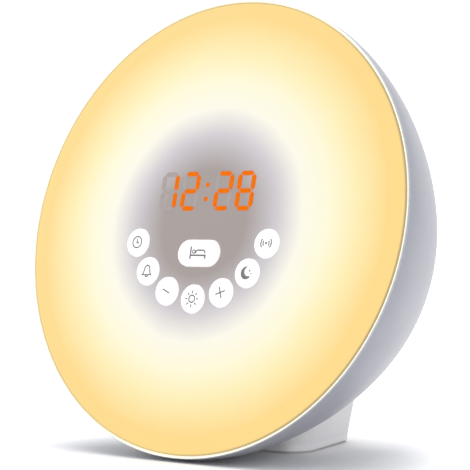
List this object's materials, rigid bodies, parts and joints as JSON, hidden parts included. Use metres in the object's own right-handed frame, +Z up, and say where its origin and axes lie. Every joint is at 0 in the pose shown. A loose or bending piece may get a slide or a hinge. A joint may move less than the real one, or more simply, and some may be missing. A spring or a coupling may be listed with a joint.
{
  "type": "sunrise alarm clock",
  "caption": "Round leaning wake-up light with a glowing domed face, lit digits, an arc of push buttons, a bowl-shaped case and a rear foot.",
  "frame": {"origin": "middle of the foot's flat resting face, on the table", "axes": "+Z up; -Y towards the viewer, where the lit face looks; +X to the viewer's right"},
  "size_m": [0.175, 0.1084, 0.172],
  "materials": {
    "opal_diffuser": "satin",
    "white_rim": "gloss",
    "silver_case": "satin",
    "pale_foot": "satin",
    "foot_rubber": "matte",
    "button_white": "satin",
    "reflector_white": "matte",
    "housing_grey": "matte",
    "board_white": "satin",
    "board_green": "satin",
    "led_yellow": "gloss",
    "led_clear": "gloss",
    "segment_orange": "gloss",
    "segment_off": "satin",
    "black_plastic": "matte",
    "socket_cream": "satin",
    "plunger_grey": "satin",
    "tinned_metal": "satin",
    "capacitor_can": "satin",
    "ferrite_black": "matte",
    "ribbon_grey": "satin",
    "lead_black": "satin",
    "speaker_steel": "satin",
    "speaker_rubber": "matte",
    "speaker_paper": "matte",
    "coil_copper": "satin",
    "screw_steel": "satin"
  },
  "bodies": {
    "case": {"front_diffuser": "opal_diffuser", "rim_ring": "white_rim", "rear_shell": "silver_case", "foot": "pale_foot", "foot_base": "pale_foot", "foot_pad": "foot_rubber", "reflector": "reflector_white", "control_housing": "housing_grey", "led_board": "board_white", "control_board": "board_green", "main_board": "board_green", "leds_warm": "led_yellow", "leds_colour": "led_clear", "display_segments_lit": "segment_orange", "display_segments_off": "segment_off", "display_housing": "black_plastic", "tact_switches": "black_plastic", "board_chips": "black_plastic", "dc_jack": "black_plastic", "battery_holder": "black_plastic", "ribbon_sockets": "socket_cream", "display_pins": "tinned_metal", "tuner_shield": "tinned_metal", "dc_jack_pin": "tinned_metal", "battery_contacts": "tinned_metal", "coin_cell": "tinned_metal", "capacitors": "capacitor_can", "power_inductor": "ferrite_black", "speaker_magnet": "ferrite_black", "ribbon_cable": "ribbon_grey", "internal_leads": "lead_black", "antenna_grommet": "lead_black", "speaker_basket": "speaker_steel", "speaker_surround": "speaker_rubber", "speaker_gasket": "speaker_rubber", "case_screws": "screw_steel", "housing_screws": "screw_steel", "control_board_screws": "screw_steel", "main_board_screws": "screw_steel", "speaker_screws": "screw_steel", "foot_screws": "screw_steel"},
    "lid": {"battery_lid": "silver_case"},
    "key_clock": {"button_clock": "button_white", "plunger_clock": "plunger_grey"},
    "key_alarm": {"button_alarm": "button_white", "plunger_alarm": "plunger_grey"},
    "key_minus": {"button_minus": "button_white", "plunger_minus": "plunger_grey"},
    "key_light": {"button_light": "button_white", "plunger_light": "plunger_grey"},
    "key_plus": {"button_plus": "button_white", "plunger_plus": "plunger_grey"},
    "key_sleep": {"button_sleep": "button_white", "plunger_sleep": "plunger_grey"},
    "key_radio": {"button_radio": "button_white", "plunger_radio": "plunger_grey"},
    "key_snooze": {"button_snooze": "button_white", "plunger_snooze": "plunger_grey"},
    "cone": {"speaker_cone": "speaker_paper", "voice_coil": "coil_copper"}
  },
  "joints": [
    {"name": "clock_press", "type": "slide", "parent": "case", "child": "key_clock", "axis": [0, 0.9744, -0.225], "range_m": [0, 0.0006], "stiffness_N_per_m": 900, "springref_m": -0.0006},
    {"name": "alarm_press", "type": "slide", "parent": "case", "child": "key_alarm", "axis": [0, 0.9744, -0.225], "range_m": [0, 0.0006], "stiffness_N_per_m": 900, "springref_m": -0.0006},
    {"name": "minus_press", "type": "slide", "parent": "case", "child": "key_minus", "axis": [0, 0.9744, -0.225], "range_m": [0, 0.0006], "stiffness_N_per_m": 900, "springref_m": -0.0006},
    {"name": "light_press", "type": "slide", "parent": "case", "child": "key_light", "axis": [0, 0.9744, -0.225], "range_m": [0, 0.0006], "stiffness_N_per_m": 900, "springref_m": -0.0006},
    {"name": "plus_press", "type": "slide", "parent": "case", "child": "key_plus", "axis": [0, 0.9744, -0.225], "range_m": [0, 0.0006], "stiffness_N_per_m": 900, "springref_m": -0.0006},
    {"name": "sleep_press", "type": "slide", "parent": "case", "child": "key_sleep", "axis": [0, 0.9744, -0.225], "range_m": [0, 0.0006], "stiffness_N_per_m": 900, "springref_m": -0.0006},
    {"name": "radio_press", "type": "slide", "parent": "case", "child": "key_radio", "axis": [0, 0.9744, -0.225], "range_m": [0, 0.0006], "stiffness_N_per_m": 900, "springref_m": -0.0006},
    {"name": "snooze_press", "type": "slide", "parent": "case", "child": "key_snooze", "axis": [0, 0.9744, -0.225], "range_m": [0, 0.0006], "stiffness_N_per_m": 900, "springref_m": -0.0006},
    {"name": "cone_travel", "type": "slide", "parent": "case", "child": "cone", "axis": [0, 0.9744, -0.225], "range_m": [-0.0005, 0.0005], "stiffness_N_per_m": 1500},
    {"name": "lid_turn", "type": "hinge", "parent": "case", "child": "lid", "pos_m": [0, 0.0226, 0.04323], "axis": [0, 0.9744, -0.225], "range_deg": [0, 45]}
  ]
}
